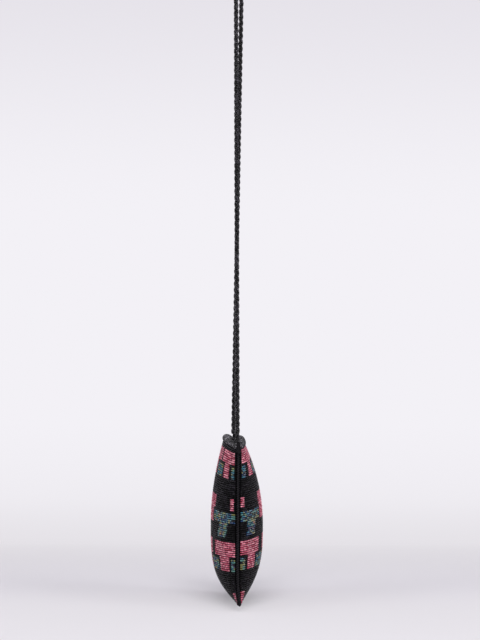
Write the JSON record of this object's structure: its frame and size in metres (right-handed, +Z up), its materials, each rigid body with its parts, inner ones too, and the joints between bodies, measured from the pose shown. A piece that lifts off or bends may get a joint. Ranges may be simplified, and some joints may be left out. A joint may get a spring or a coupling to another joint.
{
  "type": "beaded crossbody bag",
  "caption": "Small flat bag of glass bead cloth with a zip across its mouth, hung by a long plaited bead strap sewn to its top corners.",
  "frame": {"origin": "the point under the strap's top bend, where the bag is hung", "axes": "+Z up, +Y towards the back panel, +X along the mouth towards the side seam that the picture shows"},
  "size_m": [0.2154, 0.0612, 0.7662],
  "materials": {
    "beadwork": "rows of opaque glass seed beads, black with pink and blue-green fields",
    "black_beads": "glossy black glass seed beads on thread",
    "black_cord": "waxed black edging cord",
    "lining_cloth": "plain black cotton",
    "zip_cloth": "woven zip tape",
    "zip_metal": "dark plated metal",
    "whipping_thread": "wound black thread"
  },
  "bodies": {
    "bag": {"front_panel": "beadwork", "back_panel": "beadwork", "front_rim": "black_beads", "back_rim": "black_beads", "edge_cord": "black_cord", "lining": "lining_cloth", "zip_tape_front": "zip_cloth", "zip_tape_back": "zip_cloth", "zip_teeth_front": "zip_metal", "zip_teeth_back": "zip_metal", "zip_stop_left": "zip_metal", "zip_stop_right": "zip_metal", "strap_anchor_left": "whipping_thread", "strap_anchor_right": "whipping_thread", "strap": "black_beads"},
    "slider": {"zip_slider": "zip_metal"},
    "pull": {"zip_pull": "zip_metal"}
  },
  "joints": [
    {"name": "zip_slide", "type": "slide", "parent": "bag", "child": "slider", "axis": [1, 0, 0], "range_m": [0, 0.144]},
    {"name": "pull_swing", "type": "hinge", "parent": "slider", "child": "pull", "pos_m": [-0.072, 0, -0.5766], "axis": [0, -1, 0], "range_deg": [0, 150]}
  ]
}
